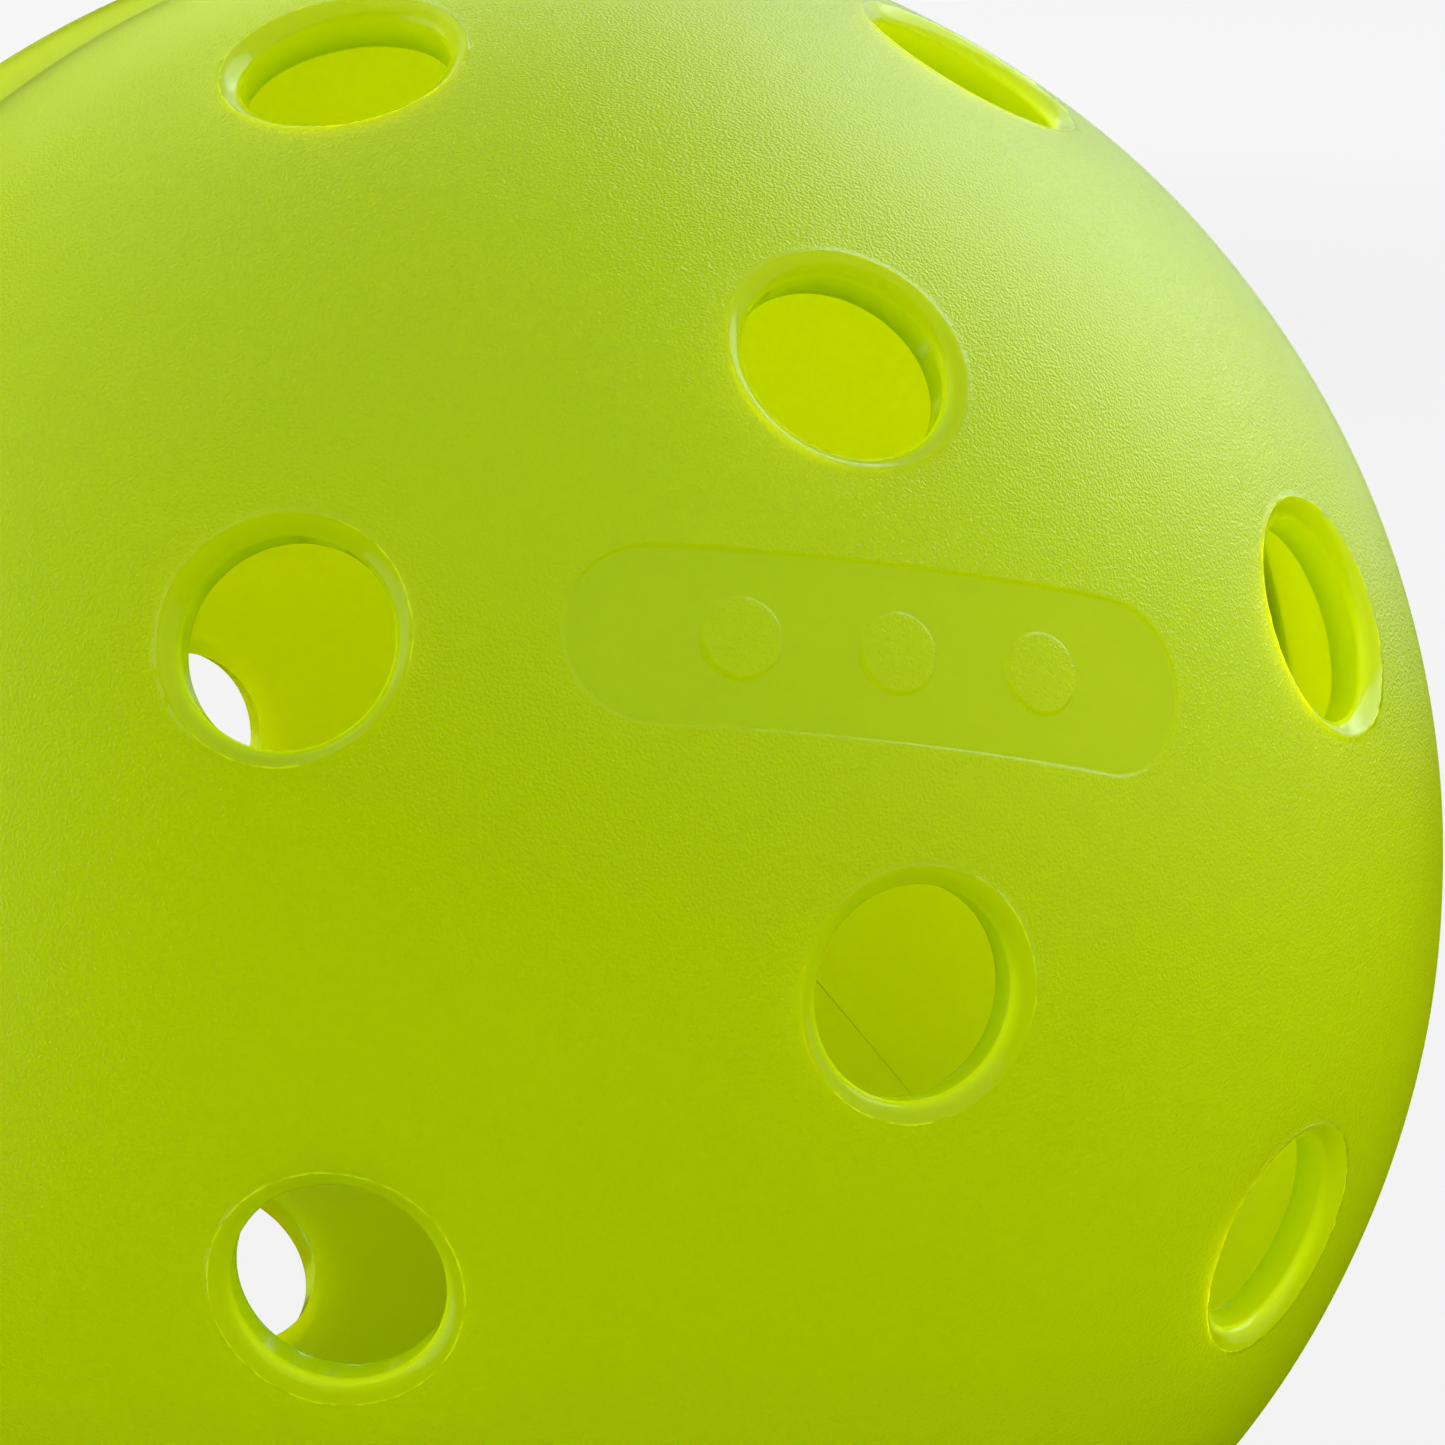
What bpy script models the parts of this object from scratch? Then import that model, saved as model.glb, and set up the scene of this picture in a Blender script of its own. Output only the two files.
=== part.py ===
"""Perforated plastic ball: two half shells that meet in a lap joint and are welded round the equator.

The ball's centre is the origin. The weld plane is XZ, so the front half faces -Y and the rear half
faces +Y. The 32 holes lie on the 12 corner and 20 face axes of an icosahedron, and one of the face
axes is the halves' common pole. Units are metres.
"""

import math

import bmesh
import bpy
from mathutils import Matrix, Vector

BALL_RADIUS = 0.037
WALL = 0.0019
BORE_RADIUS = 0.00395
SHOULDER_RADIUS = 0.001  # the rounding at the outer mouth of every hole
SHOULDER_SWEEP = math.radians(72)  # it stops short of a full quarter where it meets the outer skin
FLARE = 0.0008  # how far a hole cutter carries on past the skin

SEAM_GAP = 0.0003  # clearance between the two halves, all along the joint
TONGUE_THICKNESS = 0.0008
TONGUE_REACH = 0.0012  # how far the front half's tongue passes the weld plane
TONGUE_CHAMFER = 0.00025

SHELL_STEPS = 48  # facets once round the ball
OUTER_ROWS = 12  # facets from pole to rim, outside
INNER_ROWS = 9  # facets from pole to rim, inside
HOLE_STEPS = 20
SHOULDER_ROWS = 3
MERGE = 1e-7

PLASTIC_COLOUR = (0.36, 0.52, 0.012, 1.0)
PLASTIC_ROUGHNESS = 0.42

INNER_RADIUS = BALL_RADIUS - WALL
GOLDEN = (1 + math.sqrt(5)) / 2


def clear_scene():
    for obj in list(bpy.data.objects):
        bpy.data.objects.remove(obj, do_unlink=True)


def plastic():
    material = bpy.data.materials.new("yellow_green_polyethylene")
    material.use_nodes = True
    shader = material.node_tree.nodes["Principled BSDF"]
    shader.inputs["Base Color"].default_value = PLASTIC_COLOUR
    shader.inputs["Roughness"].default_value = PLASTIC_ROUGHNESS
    shader.inputs["Metallic"].default_value = 0.0
    return material


def hole_directions():
    """The 12 corners and the 20 face centres of an icosahedron, as unit vectors."""
    corners = []
    faces = [Vector(signs) for signs in sign_triples()]
    for shift in range(3):
        for a in (-1, 1):
            for b in (-1, 1):
                corner = (0, a, b * GOLDEN)
                face = (a / GOLDEN, 0, b * GOLDEN)
                corners.append(Vector(corner[shift:] + corner[:shift]))
                faces.append(Vector(face[shift:] + face[:shift]))
    return [direction.normalized() for direction in corners + faces]


def sign_triples():
    return [(x, y, z) for x in (-1, 1) for y in (-1, 1) for z in (-1, 1)]


def turned_to_pole(directions):
    """The directions turned so that a face axis is +Z and the nearest corner leans towards +Y."""
    pole = Vector((1, 1, 1)).normalized()
    corner = Vector((0, 1, GOLDEN)).normalized()
    side = (corner - pole * corner.dot(pole)).normalized()
    to_pole = Matrix((side.cross(pole), side, pole))
    return [to_pole @ direction for direction in directions]


def revolve(bm, profile, steps):
    """Turns a profile of (radius, height) points once round +Z."""
    verts = [bm.verts.new((radius, 0, height)) for radius, height in profile]
    edges = [bm.edges.new(pair) for pair in zip(verts, verts[1:])]
    bmesh.ops.spin(
        bm, geom=verts + edges, cent=(0, 0, 0), axis=(0, 0, 1), angle=math.tau, steps=steps
    )
    bmesh.ops.remove_doubles(bm, verts=bm.verts, dist=MERGE)


def object_from(bm, name):
    bmesh.ops.recalc_face_normals(bm, faces=bm.faces)
    mesh = bpy.data.meshes.new(name)
    bm.to_mesh(mesh)
    bm.free()
    mesh.shade_smooth()
    obj = bpy.data.objects.new(name, mesh)
    bpy.context.scene.collection.objects.link(obj)
    return obj


def radius_at(sphere_radius, height):
    return math.sqrt(sphere_radius**2 - height**2)


def meridian(sphere_radius, rows, rim_height):
    """Points down a sphere's side, from its pole to the height of the rim."""
    last = math.acos(rim_height / sphere_radius)
    angles = [last * row / rows for row in range(rows + 1)]
    return [(sphere_radius * math.sin(a), sphere_radius * math.cos(a)) for a in angles]


def tongue():
    """The front half's rim: a thin inner lip that passes the weld plane into the rear half."""
    outside = INNER_RADIUS + TONGUE_THICKNESS
    tip = -TONGUE_REACH
    return [
        (outside, SEAM_GAP / 2),
        (outside, tip + TONGUE_CHAMFER),
        (outside - TONGUE_CHAMFER, tip),
        (radius_at(INNER_RADIUS, tip), tip),
    ]


def rabbet():
    """The rear half's rim: a thin outer lip with a step inside it that takes the tongue."""
    inside = INNER_RADIUS + TONGUE_THICKNESS + SEAM_GAP
    step = TONGUE_REACH + SEAM_GAP
    return [
        (inside, SEAM_GAP / 2),
        (inside, step),
    ]


def shell_profile(rim, inner_rim_height):
    outside = meridian(BALL_RADIUS, OUTER_ROWS, SEAM_GAP / 2)
    inside = meridian(INNER_RADIUS, INNER_ROWS, inner_rim_height)
    return outside + rim + inside[::-1]


def hole_profile():
    """A cutter's side, from its flared top, round the shoulder and down through the wall."""
    ring_radius = BORE_RADIUS + SHOULDER_RADIUS * (1 - math.cos(SHOULDER_SWEEP))
    ring_height = radius_at(BALL_RADIUS, ring_radius)
    flat_height = ring_height - SHOULDER_RADIUS * math.sin(SHOULDER_SWEEP)
    mouth_radius = ring_radius + FLARE * math.sin(SHOULDER_SWEEP)
    mouth_height = ring_height + FLARE * math.cos(SHOULDER_SWEEP)
    points = [(0, BALL_RADIUS + FLARE), (mouth_radius, mouth_height)]
    for row in range(SHOULDER_ROWS, -1, -1):
        angle = SHOULDER_SWEEP * row / SHOULDER_ROWS
        across = BORE_RADIUS + SHOULDER_RADIUS * (1 - math.cos(angle))
        points.append((across, flat_height + SHOULDER_RADIUS * math.sin(angle)))
    bottom = INNER_RADIUS - 2 * WALL
    return points + [(BORE_RADIUS, bottom), (0, bottom)]


def hole_cutter(name, directions):
    """One object that holds a separate closed cutter along each direction."""
    bm = bmesh.new()
    for direction in directions:
        single = bmesh.new()
        revolve(single, hole_profile(), HOLE_STEPS)
        single.transform(direction.to_track_quat("Z", "Y").to_matrix().to_4x4())
        loose = bpy.data.meshes.new("loose_cutter")
        single.to_mesh(loose)
        single.free()
        bm.from_mesh(loose)
        bpy.data.meshes.remove(loose)
    cutter = object_from(bm, name)
    cutter.hide_render = True
    cutter.display_type = "WIRE"
    return cutter


def half_shell(name, rim, inner_rim_height, directions, quarter_turn, material):
    """A drilled half shell, made with its pole on +Z and then tipped over to -Y or +Y."""
    bm = bmesh.new()
    revolve(bm, shell_profile(rim, inner_rim_height), SHELL_STEPS)
    shell = object_from(bm, name)
    shell.data.materials.append(material)
    cutter = hole_cutter(name + "_hole_cutter", directions)
    cutter.parent = shell
    drill = shell.modifiers.new("drill_holes", "BOOLEAN")
    drill.operation = "DIFFERENCE"
    drill.solver = "EXACT"
    drill.object = cutter
    shell.rotation_euler.x = quarter_turn
    return shell


def main():
    clear_scene()
    material = plastic()
    upper = [d for d in turned_to_pole(hole_directions()) if d.z > 0]
    half_shell("front_shell", tongue(), -TONGUE_REACH, upper, math.pi / 2, material)
    half_shell("rear_shell", rabbet(), TONGUE_REACH + SEAM_GAP, upper, -math.pi / 2, material)


main()
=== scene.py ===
"""Looks of the perforated ball: two fine shells, their moulded plastic, a plain floor and soft light.

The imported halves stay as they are, hidden, and a fine shell stands for each. A shell is built hole
by hole: every hole owns the patch of sphere that lies nearer to it than to the half's other holes,
and a grid of rings runs from the patch's border inside, through the bore, out to the border again.
Lengths are metres.
"""

import math

import bmesh
import bpy
import numpy as np
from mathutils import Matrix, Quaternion, Vector

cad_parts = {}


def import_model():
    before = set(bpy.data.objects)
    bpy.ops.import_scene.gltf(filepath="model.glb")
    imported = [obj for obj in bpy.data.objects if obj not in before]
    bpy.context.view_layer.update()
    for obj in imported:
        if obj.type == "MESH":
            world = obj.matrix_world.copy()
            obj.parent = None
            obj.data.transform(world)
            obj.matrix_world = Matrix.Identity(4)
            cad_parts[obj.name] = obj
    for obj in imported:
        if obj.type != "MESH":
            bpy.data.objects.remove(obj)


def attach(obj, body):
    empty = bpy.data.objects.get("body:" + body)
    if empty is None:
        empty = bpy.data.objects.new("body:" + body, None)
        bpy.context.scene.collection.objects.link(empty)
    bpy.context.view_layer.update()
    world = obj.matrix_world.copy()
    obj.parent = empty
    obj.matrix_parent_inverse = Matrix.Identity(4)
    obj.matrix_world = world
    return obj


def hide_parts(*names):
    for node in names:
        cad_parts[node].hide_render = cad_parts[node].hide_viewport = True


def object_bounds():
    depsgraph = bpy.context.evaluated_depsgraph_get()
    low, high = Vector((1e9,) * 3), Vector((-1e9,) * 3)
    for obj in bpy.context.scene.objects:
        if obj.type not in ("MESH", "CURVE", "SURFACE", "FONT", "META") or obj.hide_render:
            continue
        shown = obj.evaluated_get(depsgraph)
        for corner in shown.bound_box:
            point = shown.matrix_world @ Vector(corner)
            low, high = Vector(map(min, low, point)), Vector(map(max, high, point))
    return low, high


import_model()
cad_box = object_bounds()

MM = 0.001
BALL_RADIUS = (cad_box[1].z - cad_box[0].z) / 2
WALL = 1.9 * MM
INNER_RADIUS = BALL_RADIUS - WALL
GOLDEN = (1 + math.sqrt(5)) / 2

# ---- hole section -------------------------------------------------------------------------------
BORE_RADIUS = 3.95 * MM
LIP_RADIUS = 0.5 * MM  # the shoulder turns tightly out of the bore, then gently up to the skin
LIP_SWEEP = math.radians(47)
SHOULDER_RADIUS = 1.5 * MM
SHOULDER_SWEEP = math.radians(72)
INNER_EDGE_RADIUS = 0.12 * MM
BORE_ROWS = 4
SHOULDER_ROWS = 14
INNER_EDGE_ROWS = 3
INNER_EDGE_PAINTED_GLOW = 0.15  # how brightly the bore's inner edge takes painted glow, which stands in for light, beside the flash's 1
LIP_PAINTED_GLOW = 0.75  # the same painted glow for the lip on its lit side
LIP_FADE = 0.9  # how sharply the lip's painted glow fades round the lip from that side to the other
LIP_PAINTED_GLOW_END = 1.25  # the painted glow ends where the shoulder has turned this many times LIP_SWEEP
LIT_SIDE = (0.17, -0.22, -0.96)  # the lit side whose lips take painted glow, in the row frame: below and a little to the front
FLASH_WIDTH = 0.09 * MM  # the thin lip of flash round the mouth of a hole
FLASH_ROWS = 5
FLASH_HEIGHT = 0.035 * MM
FLASH_SEED = 3956
FLASH_RAG_SEED = 100  # added to a hole's seed, for the fins' ragged height
FLASH_WANDER_SEED = 200  # the same, for the line that the fins follow
FLASH_WANDER = 0.3  # how far that line strays, as a share of the flash's width
FLASH_STRETCHES = (1, 2, 3)  # waves round the hole that choose where there is flash
FLASH_RAGS = (9, 14, 23, 37, 59)
FLASH_BENDS = (4, 7, 11, 18, 29)
MOUTH_GRAIN = 0.35  # the grain at the outer end of the flash; it is full a row further out

# ---- patches ------------------------------------------------------------------------------------
RIM_ANGLE = math.radians(60)  # an edge sharper than this stays sharp: the two where a half ends
COLUMN_STEP = math.radians(2.4)
OUTER_ROWS = 24
OUTER_ROW_GROWTH = 1.15  # above 1, the rows are finer near the hole than at the patch's border
INNER_ROWS = 9
PATCH_REACH = math.radians(60)  # wider than any patch
MERGE = 0.0005 * MM
ON_SEAM = 1e-9  # a border point this close to the weld plane, on a sphere of radius 1, is on it

# ---- weld seam ----------------------------------------------------------------------------------
SEAM_HALF_GAP = 0.008 * MM
GROOVE_DEPTH = 0.006 * MM
GROOVE_WIDTH = 0.08 * MM
BAND_REACH = 6.6 * MM  # a band each side of the weld that the finishing tool has touched
BAND_DEPTH = 0.012 * MM
BAND_EDGE = 0.25 * MM
BAND_POLISH = 0.7  # the share of the grain that the tool has taken off
BAND_FADE = 3.0 * MM

# ---- recessed panel -----------------------------------------------------------------------------
PANEL_LENGTH = 25.0 * MM
PANEL_HEIGHT = 6.6 * MM
PANEL_DEPTH = 0.13 * MM
PANEL_EDGE = 0.16 * MM
PANEL_FINE = 0.07 * MM  # the mesh is at least this fine along the panel's edge
ISLAND_RADIUS = 1.5 * MM
ISLAND_PITCH = 6.0 * MM
PANEL_PLACE = (0.383, 0.196, 0.902)  # the panel's centre, as (right, up, back) of the view
PANEL_TILT = 0.02  # its slope, down to the right

# ---- moulding waves: gentle unevenness of a moulded sphere --------------------------------------
WAVE_HEIGHT = 0.018 * MM
WAVE_LENGTH = 9 * MM
WAVE_COUNT = 9
WAVE_SPREAD = (0.6, 1.5)  # how many of a wave fit in WAVE_LENGTH, longest to shortest
WAVE_SEED = 32

# ---- camera, in the row frame -------------------------------------------------------------------
CAMERA_AZIMUTH = math.radians(-24.17)
CAMERA_ELEVATION = math.radians(7.91)
CAMERA_ROLL = math.radians(1.81)
CAMERA_DISTANCE = 9.75 * BALL_RADIUS
CAMERA_LENS = 227.1
AIM_RIGHT = 8.6 * MM  # the point that the camera looks at, right of the ball's centre
AIM_UP = 5.23 * MM  # and above it


def unit(vectors):
    return vectors / np.linalg.norm(vectors, axis=-1, keepdims=True)


def smooth_step(value):
    value = np.clip(value, 0.0, 1.0)
    return value * value * (3 - 2 * value)


def hole_directions():
    """The 12 corners and 20 face axes of an icosahedron, with one face axis on -Y."""
    corners = []
    faces = [(x, y, z) for x in (-1, 1) for y in (-1, 1) for z in (-1, 1)]
    for shift in range(3):
        for a in (-1, 1):
            for b in (-1, 1):
                corner = (0, a, b * GOLDEN)
                face = (a / GOLDEN, 0, b * GOLDEN)
                corners.append(corner[shift:] + corner[:shift])
                faces.append(face[shift:] + face[:shift])
    directions = unit(np.array(corners + faces, float))
    pole = unit(np.array((1.0, 1.0, 1.0)))
    corner = unit(np.array((0.0, 1.0, GOLDEN)))
    side = unit(corner - pole * (corner @ pole))
    return np.stack(
        [directions @ np.cross(side, pole), -directions @ pole, directions @ side], axis=1
    )


def ripple(points, wave_length, seed):
    """A smooth random height, mostly from -1 to 1, at each point: the sum of plane waves."""
    rng = np.random.default_rng(seed)
    turns = unit(rng.normal(size=(WAVE_COUNT, 3))) * rng.uniform(*WAVE_SPREAD, (WAVE_COUNT, 1))
    phases = rng.uniform(0, math.tau, WAVE_COUNT)
    heights = np.sin(points @ turns.T * (math.tau / wave_length) + phases)
    return heights.sum(axis=1) / math.sqrt(WAVE_COUNT) / 1.5


def round_noise(angles, turns, seed):
    """A smooth random value, mostly from -1 to 1, that closes on itself round a circle."""
    rng = np.random.default_rng(seed)
    value = sum(np.sin(turn * angles + rng.uniform(0, math.tau)) for turn in turns)
    return value / math.sqrt(len(turns))


def flash_share(angles, seed):
    """How much flash there is round a hole, from 0 to 1: a ragged fin here, dots or nothing there."""
    wear = np.random.default_rng(seed).uniform(-0.9, 0.9)
    present = smooth_step(0.5 + wear + 1.1 * round_noise(angles, FLASH_STRETCHES, seed))
    rags = 0.5 + 0.6 * round_noise(angles, FLASH_RAGS, seed + FLASH_RAG_SEED)
    return present * np.clip(rags, 0.0, 1.0)


class Panel:
    """A smooth pill-shaped recess with three grained round islands, between three of the holes."""

    def __init__(self, centre, along):
        self.centre = unit(centre)
        self.along = unit(along - self.centre * (along @ self.centre))
        self.across = np.cross(self.centre, self.along)

    def distance(self, points):
        """How far each point is outside the recess's outline, in metres; negative inside."""
        radius = np.linalg.norm(points, axis=1)
        u = np.arctan2(points @ self.along, points @ self.centre) * BALL_RADIUS
        v = np.arcsin(points @ self.across / radius) * BALL_RADIUS
        front = points @ self.centre > 0
        straight = (PANEL_LENGTH - PANEL_HEIGHT) / 2
        outline = np.hypot(np.maximum(np.abs(u) - straight, 0), v) - PANEL_HEIGHT / 2
        for step in (-1, 0, 1):
            island = ISLAND_RADIUS - np.hypot(u - step * ISLAND_PITCH, v)
            outline = np.maximum(outline, island)
        return np.where(front, outline, 1.0)

    def depth(self, points):
        return smooth_step(0.5 - self.distance(points) / PANEL_EDGE)


def clip(polygon, inside):
    """A convex polygon of rows (x, y) cut to where inside, a row (a, b, c), has a x + b y + c > 0."""
    values = polygon @ inside[:2] + inside[2]
    kept = []
    for i in range(len(polygon)):
        j = (i + 1) % len(polygon)
        if values[i] > 0:
            kept.append(polygon[i])
        if (values[i] > 0) != (values[j] > 0):
            share = values[i] / (values[i] - values[j])
            kept.append(polygon[i] + share * (polygon[j] - polygon[i]))
    return np.array(kept)


class Patch:
    """One hole and the part of the half sphere that is nearer to it than to its neighbours."""

    def __init__(self, axis, others, seam_normal):
        self.axis = axis
        helper = np.array((0.0, 0.0, 1.0)) if abs(axis[2]) < 0.9 else np.array((1.0, 0.0, 0.0))
        self.east = unit(np.cross(helper, axis))
        self.north = np.cross(axis, self.east)
        walls = [axis - other for other in others] + [seam_normal]
        reach = math.tan(PATCH_REACH)
        outline = reach * np.array([(-1.0, -1.0), (1.0, -1.0), (1.0, 1.0), (-1.0, 1.0)])
        for wall in walls:
            outline = clip(outline, np.array((wall @ self.east, wall @ self.north, wall @ axis)))
        spread = axis + outline[:, :1] * self.east + outline[:, 1:] * self.north
        self.corners = unit(spread)
        self.others = others
        self.border = self.border_points()
        x, y, z = self.border @ self.east, self.border @ self.north, self.border @ axis
        self.angles = np.arctan2(y, x)
        self.reach = np.arctan2(np.hypot(x, y), z)
        self.around = np.cos(self.angles)[:, None] * self.east
        self.around = self.around + np.sin(self.angles)[:, None] * self.north

    def border_points(self):
        """Points round the border. A side has the same points as seen from the patch beyond it."""
        points = []
        for a, b in zip(self.corners, np.roll(self.corners, -1, axis=0)):
            middle = unit(a + b)
            mirror = max(self.others, key=lambda other: other @ middle)
            widest = max(self.seen(self.axis, a, b), self.seen(mirror, a, b))
            steps = max(2, 2 * math.ceil(widest / COLUMN_STEP / 2))
            arc = math.acos(np.clip(a @ b, -1, 1))
            for step in range(steps):
                share = step / steps
                point = math.sin((1 - share) * arc) * a + math.sin(share * arc) * b
                points.append(point / math.sin(arc))
        return np.array(points)

    @staticmethod
    def seen(axis, a, b):
        """The angle about an axis between two points."""
        across_a = unit(a - axis * (a @ axis))
        across_b = unit(b - axis * (b @ axis))
        return math.acos(np.clip(across_a @ across_b, -1, 1))

    def ring(self, across, height):
        """Points round the hole at a distance from its axis and a height along it."""
        return self.axis * height + self.around * np.reshape(across, (-1, 1))

    def on_sphere(self, radius, angle):
        """Points on a sphere at an angle from the hole's axis."""
        angle = np.broadcast_to(angle, self.angles.shape)
        return self.ring(radius * np.sin(angle), 0) + (radius * np.cos(angle))[:, None] * self.axis


def shoulder_point(turn):
    """How far out from the bore, and how far up from its foot, the shoulder is after a turn."""
    lip = min(turn, LIP_SWEEP)
    across = LIP_RADIUS * (1 - math.cos(lip)) + SHOULDER_RADIUS * (math.cos(lip) - math.cos(turn))
    rise = LIP_RADIUS * math.sin(lip) + SHOULDER_RADIUS * (math.sin(turn) - math.sin(lip))
    return across, rise


def bore_rows(patch):
    """Rings up the bore, from its rounded inner edge to the outer end of its shoulder."""
    rings = []
    inner_height = math.sqrt(INNER_RADIUS**2 - (BORE_RADIUS + INNER_EDGE_RADIUS) ** 2)
    for row in range(1, INNER_EDGE_ROWS + 1):
        turn = math.pi / 2 * row / INNER_EDGE_ROWS
        across = BORE_RADIUS + INNER_EDGE_RADIUS * (1 - math.sin(turn))
        rings.append(patch.ring(across, inner_height + INNER_EDGE_RADIUS * (1 - math.cos(turn))))
    across, rise = shoulder_point(SHOULDER_SWEEP)
    mouth = BORE_RADIUS + across
    foot = math.sqrt(BALL_RADIUS**2 - mouth**2) - rise
    start = inner_height + INNER_EDGE_RADIUS
    for row in range(1, BORE_ROWS + 1):
        rings.append(patch.ring(BORE_RADIUS, start + (foot - start) * row / BORE_ROWS))
    for row in range(1, SHOULDER_ROWS + 1):
        across, rise = shoulder_point(SHOULDER_SWEEP * row / SHOULDER_ROWS)
        rings.append(patch.ring(BORE_RADIUS + across, foot + rise))
    return rings, math.asin(mouth / BALL_RADIUS)


def patch_grid(patch, seed):
    """(rings, grain, painted glow): every ring of points from the inner border to the outer one, how
    grained
    each point is, and its painted light: a lighter colour and a glow on the lit lip, flash and inner
    edge."""
    inner_start = math.asin((BORE_RADIUS + INNER_EDGE_RADIUS) / INNER_RADIUS)
    rings, grain, painted_glow = [], [], []
    plain = np.zeros_like(patch.angles)
    # painted light: the lip glows most on the side facing LIT_SIDE, a stand-in for light piped along
    # the wall
    facing = patch.around @ np.array(LIT_SIDE)
    lip = LIP_PAINTED_GLOW * smooth_step(0.5 + LIP_FADE * facing)
    for row in range(INNER_ROWS, -1, -1):
        angle = inner_start + (patch.reach - inner_start) * row / INNER_ROWS
        rings.append(patch.on_sphere(INNER_RADIUS, angle))
        painted_glow.append(plain + (INNER_EDGE_PAINTED_GLOW if row == 0 else 0.0))
    bore, mouth_angle = bore_rows(patch)
    rings.extend(bore)
    # painted light: the inner edge glows, and the glow fades up the bore
    painted_glow.extend([plain + INNER_EDGE_PAINTED_GLOW] * INNER_EDGE_ROWS)
    for row in range(1, BORE_ROWS + 1):
        painted_glow.append(plain + INNER_EDGE_PAINTED_GLOW * (1 - row / BORE_ROWS))
    for row in range(1, SHOULDER_ROWS + 1):
        past_lip = SHOULDER_SWEEP * row / SHOULDER_ROWS / LIP_SWEEP
        painted_glow.append(lip * math.sin(math.pi * min(past_lip / LIP_PAINTED_GLOW_END, 1.0)))
    grain.extend([plain] * len(rings))
    flash = flash_share(patch.angles, seed)
    flash_angle = FLASH_WIDTH / BALL_RADIUS
    bends = round_noise(patch.angles, FLASH_BENDS, seed + FLASH_WANDER_SEED)
    wander = FLASH_WANDER * flash_angle * bends
    for row in range(1, FLASH_ROWS + 1):
        share = row / FLASH_ROWS
        arch = math.sin(math.pi * share)
        lift = FLASH_HEIGHT * flash * arch**2
        angle = mouth_angle + flash_angle * share + wander * arch
        rings.append(patch.on_sphere(BALL_RADIUS + lift, angle))
        grain.append(plain + (0.0 if row < FLASH_ROWS else MOUTH_GRAIN))
        # painted highlight: the flash glows in step with how much flash there is; its raised fin is
        # real
        painted_glow.append(flash * arch)
    start = mouth_angle + flash_angle
    for row in range(1, OUTER_ROWS + 1):
        share = (row / OUTER_ROWS) ** OUTER_ROW_GROWTH
        rings.append(patch.on_sphere(BALL_RADIUS, start + (patch.reach - start) * share))
        grain.append(plain + 1.0)
        painted_glow.append(plain)
    return np.array(rings), np.array(grain), np.array(painted_glow)


def half_mesh(axes, seam_normal):
    """(points, faces, grain, painted glow, skin) of a half shell as plain arrays, still unmerged."""
    points, faces, grain, painted_glow, skin = [], [], [], [], []
    offset = 0
    for index, axis in enumerate(axes):
        others = np.delete(axes, index, axis=0)
        patch = Patch(axis, others, seam_normal)
        rings, ring_grain, ring_painted_glow = patch_grid(patch, FLASH_SEED + index)
        rows, columns = rings.shape[:2]
        grid = offset + np.arange(rows * columns).reshape(rows, columns)
        ahead = np.roll(grid, -1, axis=1)
        quads = np.stack([grid[:-1], ahead[:-1], ahead[1:], grid[1:]], axis=-1)
        faces.append(quads.reshape(-1, 4))
        at_seam = np.abs(patch.border @ seam_normal) < ON_SEAM
        rim = at_seam & np.roll(at_seam, -1)
        rim_quads = np.stack([grid[-1], ahead[-1], ahead[0], grid[0]], axis=-1)
        faces.append(rim_quads[rim])
        points.append(rings.reshape(-1, 3))
        grain.append(ring_grain.reshape(-1))
        painted_glow.append(ring_painted_glow.reshape(-1))
        outside = np.arange(rows) >= rows - OUTER_ROWS - 1
        skin.append(np.repeat(outside.astype(float), columns))
        offset += rows * columns
    return [np.concatenate(part) for part in (points, faces, grain, painted_glow, skin)]


def merged(points, faces, *layers):
    """The arrays with points that coincide made one."""
    keys = np.round(points / MERGE).astype(np.int64)
    _, first, index = np.unique(keys, axis=0, return_index=True, return_inverse=True)
    return [points[first], index.reshape(-1)[faces]] + [layer[first] for layer in layers]


def shell_object(name, axes, seam_normal, panel):
    points, faces, grain, painted_glow, skin = merged(*half_mesh(axes, seam_normal))
    mesh = bpy.data.meshes.new(name)
    mesh.from_pydata(points.tolist(), [], faces.tolist())
    # the second layer is painted light: glow and lighter colour on the lips' lit side, the flash and
    # the inner edges
    for layer, values in (("grain", grain), ("painted_glow", painted_glow), ("skin", skin)):
        mesh.attributes.new(layer, "FLOAT", "POINT").data.foreach_set("value", values)
    if panel is not None:
        refine_along(mesh, panel)
    shape_skin(mesh, seam_normal, panel)
    mesh.shade_smooth()
    mesh.set_sharp_from_angle(angle=RIM_ANGLE)
    shell = bpy.data.objects.new(name, mesh)
    bpy.context.scene.collection.objects.link(shell)
    return shell


def refine_along(mesh, panel):
    """Cuts the faces along the panel's edge until they are fine enough for its rounded step."""
    bm = bmesh.new()
    bm.from_mesh(mesh)
    skin = bm.verts.layers.float["skin"]
    for _ in range(3):
        edges = [edge for edge in bm.edges if edge.calc_length() > PANEL_FINE]
        ends = np.array([[vert.co for vert in edge.verts] for edge in edges])
        middles = ends.mean(axis=1)
        lengths = np.linalg.norm(ends[:, 0] - ends[:, 1], axis=1)
        near = np.abs(panel.distance(middles)) < PANEL_EDGE + lengths
        chosen = [
            edge
            for edge, close in zip(edges, near)
            if close and all(vert[skin] > 0.99 for vert in edge.verts)
        ]
        if not chosen:
            break
        bmesh.ops.subdivide_edges(bm, edges=chosen, cuts=1, use_grid_fill=True)
    bmesh.ops.triangulate(bm, faces=[face for face in bm.faces if len(face.verts) > 4])
    bm.to_mesh(mesh)
    bm.free()


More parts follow.
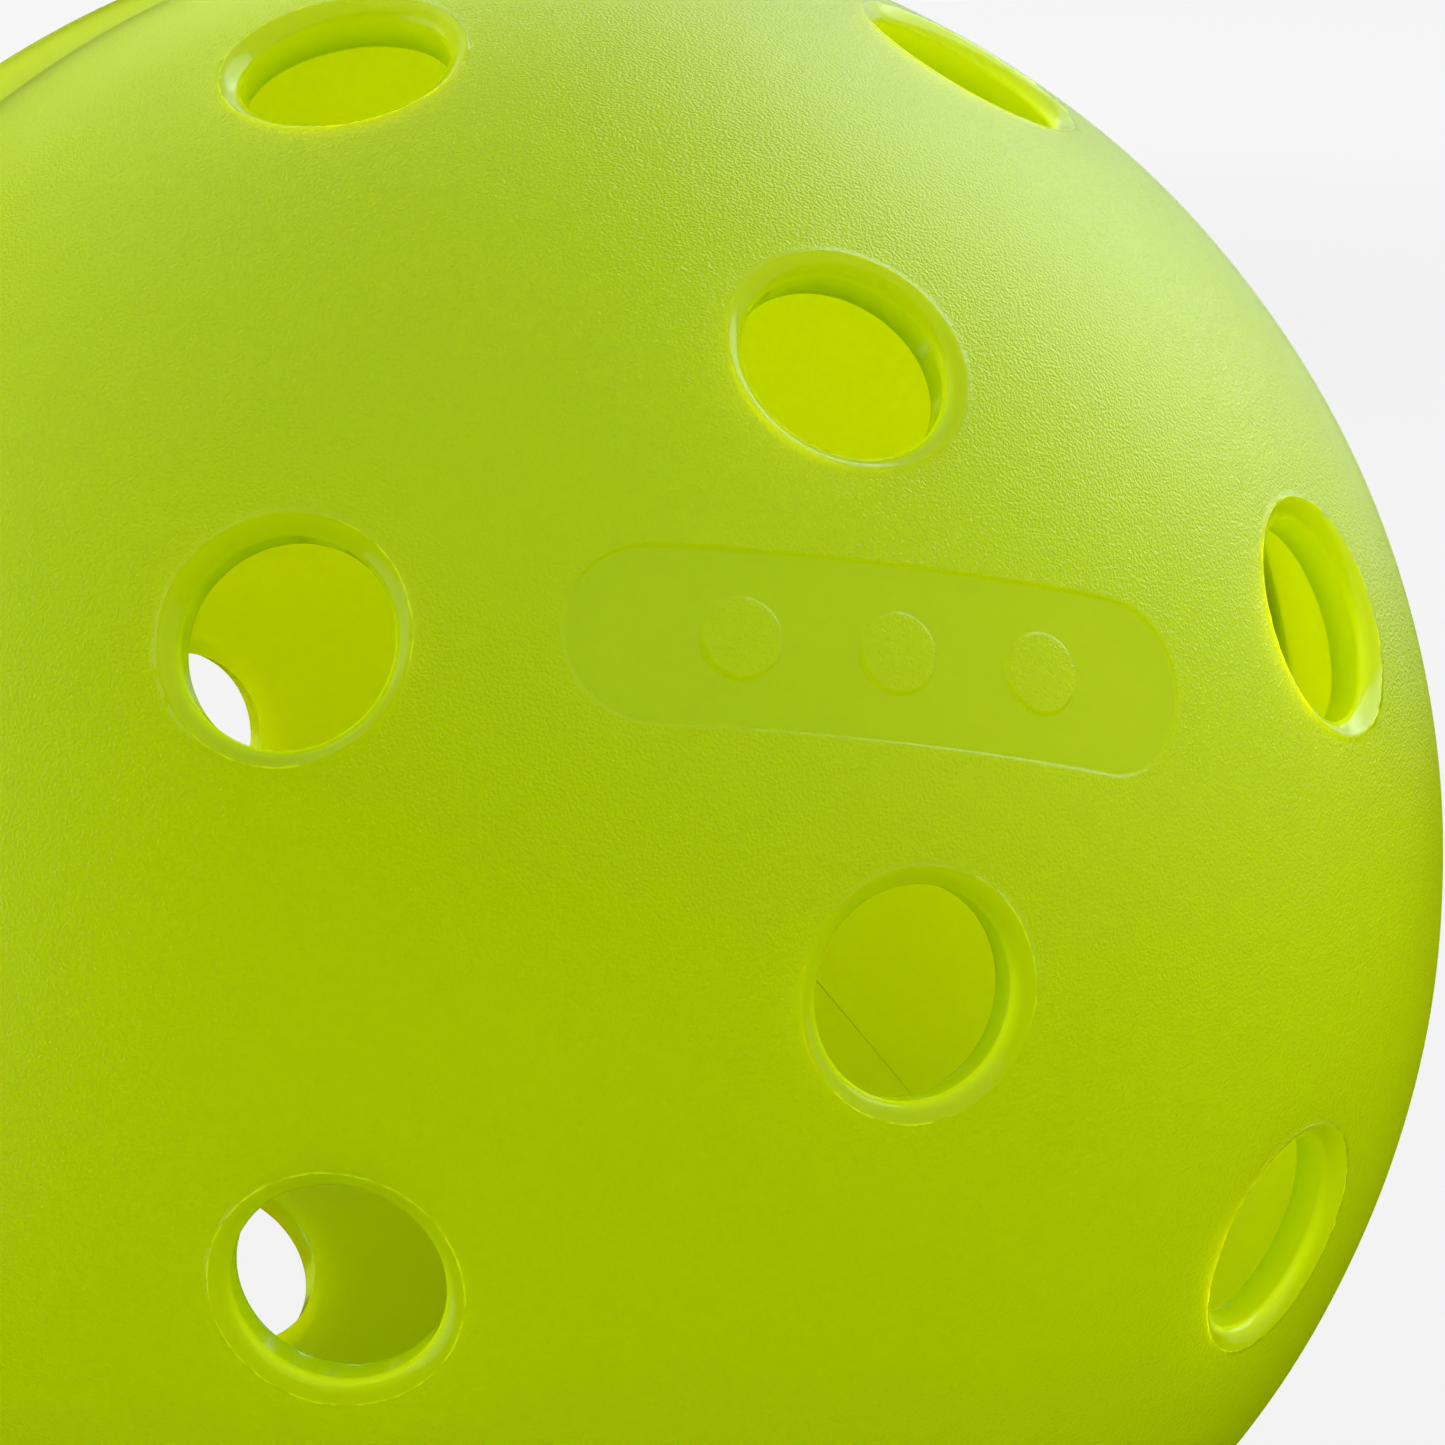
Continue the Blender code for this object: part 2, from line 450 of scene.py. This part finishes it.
def shape_skin(mesh, seam_normal, panel):
    """Moves the outer skin in or out: the panel, the seam's groove, its band and slow waves."""
    count = len(mesh.vertices)
    points = np.empty(count * 3, np.float32)
    mesh.vertices.foreach_get("co", points)
    points = points.reshape(-1, 3).astype(float)
    layers = {}
    for layer in ("grain", "skin"):
        layers[layer] = np.empty(count, np.float32)
        mesh.attributes[layer].data.foreach_get("value", layers[layer])
    skin = layers["skin"].astype(float)
    from_seam = np.abs(points @ seam_normal)
    radius = np.linalg.norm(points, axis=1)
    on_skin = (skin > 0.5) & (radius > BALL_RADIUS - 0.5 * WALL)
    lift = WAVE_HEIGHT * ripple(points, WAVE_LENGTH, WAVE_SEED) - WAVE_HEIGHT
    lift = lift - BAND_DEPTH * smooth_step(0.5 + (BAND_REACH - from_seam) / BAND_EDGE)
    polish = BAND_POLISH * smooth_step(0.5 + (BAND_REACH - from_seam) / BAND_FADE)
    layers["grain"] = layers["grain"] * (1 - polish)
    lift = lift - GROOVE_DEPTH * smooth_step(1 - from_seam / GROOVE_WIDTH)
    if panel is not None:
        depth = panel.depth(points)
        lift = lift - PANEL_DEPTH * depth
        layers["grain"] = layers["grain"] * (1 - depth)
    mesh.attributes["grain"].data.foreach_set("value", layers["grain"].astype(np.float32))
    lift = np.where(on_skin, lift * skin, 0)
    moved = points * (1 + lift / radius)[:, None]
    moved = moved + seam_normal * np.where(from_seam < SEAM_HALF_GAP, SEAM_HALF_GAP, 0)[:, None]
    mesh.vertices.foreach_set("co", moved.astype(np.float32).reshape(-1))
    mesh.update()


# ---- material -----------------------------------------------------------------------------------
PLASTIC = (0.565, 0.895, 0.001, 1.0)
PLASTIC_DEEP = (0.535, 0.875, 0.001, 1.0)
# painted light: the plastic is lightened towards this colour on the lips' lit side, the flash and the
# inner edges
PLASTIC_PAINTED_LIGHT = (0.62, 0.95, 0.004, 1.0)
PAINTED_GLOW_COLOUR = (0.72, 1.0, 0.0, 1.0)  # the colour of the painted glow
# painted glow: a faint glow over the whole ball that stands in for light
PAINTED_BODY_GLOW = 0.024
# the painted glow where the painted-glow layer is full
PAINTED_GLOW_FULL = 0.30
SCATTER_RADIUS = (1.0, 1.0, 0.1)  # blue light goes less far into the plastic
SCATTER_SCALE = 16.0 * MM
CLOUD_SCALE = 90.0  # per metre, of the slow change between the two tones
GRAIN_SCALE = 7600.0
GRAIN_HEIGHT = 0.052 * MM
SMOOTH_ROUGHNESS = 0.16
GRAIN_ROUGHNESS = 0.22


def add(nodes, kind, **settings):
    node = nodes.new(kind)
    for key, value in settings.items():
        setattr(node, key, value)
    return node


def ranged(nodes, links, value, low, high):
    """The output of a node that turns a value from 0 to 1 into one from low to high."""
    node = add(nodes, "ShaderNodeMapRange")
    node.inputs["To Min"].default_value = low
    node.inputs["To Max"].default_value = high
    links.new(value, node.inputs["Value"])
    return node.outputs["Result"]


def moulded_plastic():
    """Yellow-green polyethylene: spark-eroded grain outside, smooth on shoulders, bores and inside."""
    material = bpy.data.materials.new("yellow_green_polyethylene")
    material.use_nodes = True
    nodes, links = material.node_tree.nodes, material.node_tree.links
    shader = nodes["Principled BSDF"]
    shader.inputs["Subsurface Weight"].default_value = 1.0
    shader.inputs["Subsurface Radius"].default_value = SCATTER_RADIUS
    shader.inputs["Subsurface Scale"].default_value = SCATTER_SCALE
    shader.inputs["Emission Color"].default_value = PAINTED_GLOW_COLOUR
    shader.inputs["IOR"].default_value = 1.5
    shader.inputs["Specular IOR Level"].default_value = 0.5

    place = add(nodes, "ShaderNodeTexCoord")
    grain = add(nodes, "ShaderNodeAttribute", attribute_name="grain")
    painted_glow = add(nodes, "ShaderNodeAttribute", attribute_name="painted_glow")

    cloud = add(nodes, "ShaderNodeTexNoise")
    cloud.inputs["Scale"].default_value = CLOUD_SCALE
    cloud.inputs["Detail"].default_value = 4.0
    links.new(place.outputs["Object"], cloud.inputs["Vector"])

    tone = add(nodes, "ShaderNodeMix", data_type="RGBA")
    tone.inputs["A"].default_value = PLASTIC_DEEP
    tone.inputs["B"].default_value = PLASTIC
    links.new(cloud.outputs["Fac"], tone.inputs["Factor"])
    # painted light: a lighter colour where the painted-glow layer is high
    painted_light_mix = add(nodes, "ShaderNodeMix", data_type="RGBA")
    painted_light_mix.inputs["B"].default_value = PLASTIC_PAINTED_LIGHT
    links.new(painted_glow.outputs["Fac"], painted_light_mix.inputs["Factor"])
    links.new(tone.outputs["Result"], painted_light_mix.inputs["A"])
    links.new(painted_light_mix.outputs["Result"], shader.inputs["Base Color"])

    # painted glow: faint over the whole ball, strongest on the lips' lit side, the flash and the inner
    # edges
    glow = ranged(nodes, links, painted_glow.outputs["Fac"], PAINTED_BODY_GLOW, PAINTED_GLOW_FULL)
    links.new(glow, shader.inputs["Emission Strength"])
    roughness = ranged(nodes, links, grain.outputs["Fac"], SMOOTH_ROUGHNESS, GRAIN_ROUGHNESS)
    links.new(roughness, shader.inputs["Roughness"])

    pits = add(nodes, "ShaderNodeTexNoise")
    pits.inputs["Scale"].default_value = GRAIN_SCALE
    pits.inputs["Detail"].default_value = 1.0
    pits.inputs["Roughness"].default_value = 0.55
    links.new(place.outputs["Object"], pits.inputs["Vector"])
    height = add(nodes, "ShaderNodeMath", operation="MULTIPLY")
    links.new(pits.outputs["Fac"], height.inputs[0])
    links.new(grain.outputs["Fac"], height.inputs[1])
    bump = add(nodes, "ShaderNodeBump")
    bump.inputs["Strength"].default_value = 1.0
    bump.inputs["Distance"].default_value = GRAIN_HEIGHT
    links.new(height.outputs[0], bump.inputs["Height"])
    links.new(bump.outputs["Normal"], shader.inputs["Normal"])
    return material


# ---- stage --------------------------------------------------------------------------------------
PAPER = 0.92  # the brightness of what is seen past the floor; it doesn't light the ball
FLOOR_ALBEDO = 0.12
FLOOR_GLOW_NEAR = 0.775  # the lamps light the floor out to about a metre; its own glow does the rest
FLOOR_GLOW_FAR = 0.905
FLOOR_FADE = (0.65, 1.35)
FLOOR_REACH = 12.0


def floor():
    """A wide pale floor that the ball rests on."""
    mesh = bpy.data.meshes.new("floor")
    z = cad_box[0].z
    reach = FLOOR_REACH
    corners = [(-reach, -reach, z), (reach, -reach, z), (reach, reach, z), (-reach, reach, z)]
    mesh.from_pydata(corners, [], [(0, 1, 2, 3)])
    obj = bpy.data.objects.new("floor", mesh)
    bpy.context.scene.collection.objects.link(obj)
    material = bpy.data.materials.new("pale_floor")
    material.use_nodes = True
    shader = material.node_tree.nodes["Principled BSDF"]
    shader.inputs["Base Color"].default_value = (FLOOR_ALBEDO, FLOOR_ALBEDO, FLOOR_ALBEDO, 1.0)
    shader.inputs["Emission Color"].default_value = (1.0, 1.0, 1.0, 1.0)
    shader.inputs["Roughness"].default_value = 0.9
    shader.inputs["Specular IOR Level"].default_value = 0.0
    nodes, links = material.node_tree.nodes, material.node_tree.links
    place = add(nodes, "ShaderNodeTexCoord")
    distance = add(nodes, "ShaderNodeVectorMath", operation="LENGTH")
    links.new(place.outputs["Object"], distance.inputs[0])
    glow = add(nodes, "ShaderNodeMapRange", interpolation_type="SMOOTHSTEP")
    glow.inputs["From Min"].default_value = FLOOR_FADE[0]
    glow.inputs["From Max"].default_value = FLOOR_FADE[1]
    glow.inputs["To Min"].default_value = FLOOR_GLOW_NEAR
    glow.inputs["To Max"].default_value = FLOOR_GLOW_FAR
    links.new(distance.outputs["Value"], glow.inputs["Value"])
    links.new(glow.outputs["Result"], shader.inputs["Emission Strength"])
    mesh.materials.append(material)
    obj.visible_glossy = False
    obj.visible_diffuse = False
    obj.visible_shadow = False


def world():
    sky = bpy.data.worlds.new("studio")
    sky.use_nodes = True
    background = sky.node_tree.nodes["Background"]
    background.inputs["Color"].default_value = (PAPER, PAPER, PAPER, 1.0)
    background.inputs["Strength"].default_value = 1.0
    sky.cycles_visibility.glossy = False
    sky.cycles_visibility.diffuse = False
    bpy.context.scene.world = sky


# ---- lamps --------------------------------------------------------------------------------------
# One set of lamps shows in the gloss and another gives the scattered light. The gloss lamps hold less
# red than white, and those at the left less blue too, so that the sheen stays close to the dye.
# name, direction in the view, distance, half angle in degrees, power per square metre, colour
GLOSS_LIGHTS = (
    ("key_gloss", (0.614, 0.705, -0.355), 1.0, 25.0, 4.2, (0.8, 1.0, 1.0)),
    ("left_gloss", (-0.998, 0.046, -0.048), 0.8, 30.0, 1.5, (0.8, 1.0, 0.9)),
    ("upper_left_gloss", (-0.75, 0.6, 0.1), 0.9, 29.5, 1.3, (0.8, 1.0, 0.3)),
    ("top_gloss", (0.437, 0.896, 0.082), 0.5, 70.0, 0.55, (0.8, 1.0, 1.0)),
    ("rear_gloss", (0.35, 0.5, -0.79), 1.05, 25.0, 1.5, (0.8, 1.0, 1.0)),
    ("rear_left_gloss", (-0.6, 0.55, -0.65), 1.1, 35.0, 2.4, (0.8, 1.0, 0.1)),
    ("rear_high_gloss", (-0.1, 0.85, -0.5), 0.95, 29.5, 0.8, (0.8, 1.0, 0.7)),
)
WHITE = (1.0, 1.0, 1.0)
FILL_LIGHTS = (
    ("key_fill", (0.614, 0.705, -0.355), 0.9, 29.5, 6.6, WHITE),
    ("left_fill", (-0.998, 0.046, -0.048), 0.7, 49.0, 2.45, WHITE),
    ("front_fill", (0.0, 0.0, 1.0), 1.1, 60.0, 1.84, WHITE),
    ("right_fill", (1.0, 0.0, 0.0), 0.75, 50.0, 2.15, WHITE),
    ("rear_left", (-0.75, 0.45, -0.48), 0.95, 29.5, 2.75, WHITE),
)


def view_axes():
    """(right, up, back) of the camera's view of the ball's centre."""
    a, e = CAMERA_AZIMUTH, CAMERA_ELEVATION
    back = Vector((math.sin(a) * math.cos(e), -math.cos(a) * math.cos(e), math.sin(e)))
    turn = back.to_track_quat("Z", "Y") @ Quaternion((0, 0, 1), CAMERA_ROLL)
    return turn @ Vector((1, 0, 0)), turn @ Vector((0, 1, 0)), back


def camera():
    right, up, back = view_axes()
    data = bpy.data.cameras.new("camera")
    data.lens = CAMERA_LENS
    data.sensor_width = 36.0
    data.clip_start = 0.01
    data.clip_end = 100.0
    obj = bpy.data.objects.new("camera", data)
    bpy.context.scene.collection.objects.link(obj)
    obj.location = back * CAMERA_DISTANCE
    aim = right * AIM_RIGHT + up * AIM_UP
    towards = (obj.location - aim).to_track_quat("Z", "Y")
    obj.rotation_mode = "QUATERNION"
    obj.rotation_quaternion = towards @ Quaternion((0, 0, 1), CAMERA_ROLL)
    bpy.context.scene.camera = obj


def soft_light(name, direction, distance, half_angle, power, colour, glossy):
    """A round soft light aimed at the ball. Its direction is (right, up, back) of the view."""
    right, up, back = view_axes()
    towards = (right * direction[0] + up * direction[1] + back * direction[2]).normalized()
    data = bpy.data.lights.new(name, "AREA")
    data.shape = "DISK"
    data.size = 2 * distance * math.tan(math.radians(half_angle))
    data.energy = power * data.size**2
    data.color = colour
    obj = bpy.data.objects.new(name, data)
    bpy.context.scene.collection.objects.link(obj)
    obj.location = towards * distance
    obj.rotation_mode = "QUATERNION"
    obj.rotation_quaternion = towards.to_track_quat("Z", "Y")
    obj.visible_camera = False
    obj.visible_diffuse = not glossy
    obj.visible_glossy = glossy


def main():
    directions = hole_directions()
    right, up, back = (np.array(axis) for axis in view_axes())
    place = right * PANEL_PLACE[0] + up * PANEL_PLACE[1] + back * PANEL_PLACE[2]
    panel = Panel(place, right - up * PANEL_TILT)
    plastic = moulded_plastic()
    for name, side in (("front_shell", -1.0), ("rear_shell", 1.0)):
        seam_normal = np.array((0.0, side, 0.0))
        axes = directions[directions[:, 1] * side > 0]
        fine = shell_object(name + "_fine", axes, seam_normal, panel if side < 0 else None)
        fine.data.materials.append(plastic)
        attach(fine, "root")
        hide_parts(name)
    floor()
    world()
    camera()
    for light in GLOSS_LIGHTS:
        soft_light(*light, glossy=True)
    for light in FILL_LIGHTS:
        soft_light(*light, glossy=False)
    bpy.context.scene.view_settings.view_transform = "Standard"


main()
